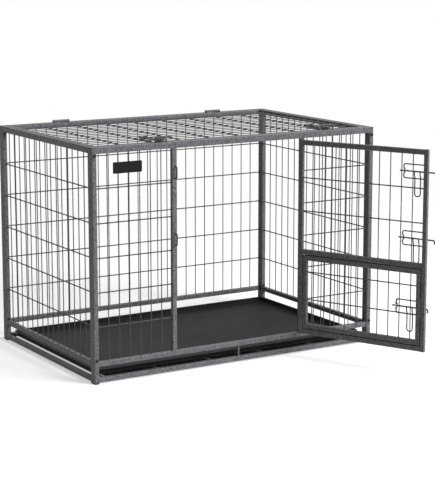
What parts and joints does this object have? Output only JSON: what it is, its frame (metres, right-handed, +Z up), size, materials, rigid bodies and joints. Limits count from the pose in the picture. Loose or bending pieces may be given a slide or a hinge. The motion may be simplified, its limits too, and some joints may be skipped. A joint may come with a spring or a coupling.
{
  "type": "wire dog crate",
  "caption": "Free-standing welded-wire dog crate on square tubes, with a hinged front door, a feed hatch in it, a hinged lid, sliding bolts and a slide-out tray.",
  "frame": {"origin": "on the floor at the middle of the crate's footprint, between the four feet", "axes": "+X to the right along the front, +Y to the rear, +Z up; the front wall with the door is at -Y"},
  "size_m": [1.07, 1.1585, 0.763],
  "materials": {
    "frame": "hammered dark grey powder coat",
    "wire": "dark grey powder coat",
    "latch_wire": "dark grey powder coat, rubbed where it slides",
    "fastener": "black zinc",
    "foot_plastic": "moulded black",
    "tray_plastic": "fine grained black"
  },
  "bodies": {
    "crate": {"front_stiles": "frame", "rear_stiles": "frame", "left_stiles": "frame", "right_stiles": "frame", "front_top_rail": "frame", "rear_top_rail": "frame", "left_top_rail": "frame", "right_top_rail": "frame", "front_lower_rail": "frame", "rear_lower_rail": "frame", "left_lower_rail": "frame", "right_lower_rail": "frame", "long_base_rails": "frame", "end_base_rails": "frame", "latch_post": "frame", "hinge_post": "frame", "front_left_wires": "wire", "front_right_wires": "wire", "rear_wires": "wire", "left_wires": "wire", "right_wires": "wire", "corner_bolts": "fastener", "corner_nuts": "fastener", "corner_feet": "foot_plastic", "stile_caps": "frame", "slot_strut": "frame", "tray_bars": "frame", "lid_rests": "frame", "door_hinge_pins": "frame", "door_keepers": "latch_wire", "lid_hinge_pins": "frame", "lid_keepers": "latch_wire"},
    "main_door": {"door_free_stile": "frame", "door_hinge_stile": "frame", "door_bottom_rail": "frame", "door_cross_rail": "frame", "door_top_rail": "frame", "door_wires": "wire", "door_hinge_knuckles": "frame", "door_bolt_guides": "latch_wire", "hatch_hinge_pins": "frame", "hatch_keeper": "latch_wire"},
    "feed_hatch": {"hatch_stiles": "frame", "hatch_rails": "frame", "hatch_wires": "wire", "hatch_hinge_knuckles": "frame", "hatch_bolt_guide": "latch_wire"},
    "door_bolt_upper": {"upper_bolt": "latch_wire"},
    "door_bolt_lower": {"lower_bolt": "latch_wire"},
    "hatch_bolt": {"hatch_bolt": "latch_wire"},
    "lid": {"lid_front_tube": "frame", "lid_rear_tube": "frame", "lid_side_tubes": "frame", "lid_wires": "wire", "lid_hinge_knuckles": "frame", "lid_bolt_guides": "latch_wire"},
    "lid_bolt_left": {"lid_bolt_left": "latch_wire"},
    "lid_bolt_right": {"lid_bolt_right": "latch_wire"},
    "tray": {"tray": "tray_plastic"}
  },
  "joints": [
    {"name": "door_swing", "type": "hinge", "parent": "crate", "child": "main_door", "pos_m": [0.23625, -0.3545, 0.39], "axis": [0, 0, 1], "range_deg": [-115.2, 54.8]},
    {"name": "hatch_swing", "type": "hinge", "parent": "main_door", "child": "feed_hatch", "pos_m": [0.24381, -0.37056, 0.246], "axis": [0, 0, -1], "range_deg": [-60, 0]},
    {"name": "upper_bolt_slide", "type": "slide", "parent": "main_door", "child": "door_bolt_upper", "axis": [-0.4258, 0.9048, 0], "range_m": [0, 0.024]},
    {"name": "lower_bolt_slide", "type": "slide", "parent": "main_door", "child": "door_bolt_lower", "axis": [-0.4258, 0.9048, 0], "range_m": [0, 0.024]},
    {"name": "hatch_bolt_slide", "type": "slide", "parent": "feed_hatch", "child": "hatch_bolt", "axis": [-0.4258, 0.9048, 0], "range_m": [0, 0.024]},
    {"name": "lid_lift", "type": "hinge", "parent": "crate", "child": "lid", "pos_m": [0, 0.3335, 0.7545], "axis": [-1, 0, 0], "range_deg": [0, 170]},
    {"name": "lid_bolt_left_slide", "type": "slide", "parent": "lid", "child": "lid_bolt_left", "axis": [0, 1, 0], "range_m": [-0.024, 0]},
    {"name": "lid_bolt_right_slide", "type": "slide", "parent": "lid", "child": "lid_bolt_right", "axis": [0, 1, 0], "range_m": [-0.024, 0]},
    {"name": "tray_slide", "type": "slide", "parent": "crate", "child": "tray", "axis": [-1, 0, 0], "range_m": [0, 0.9]}
  ]
}
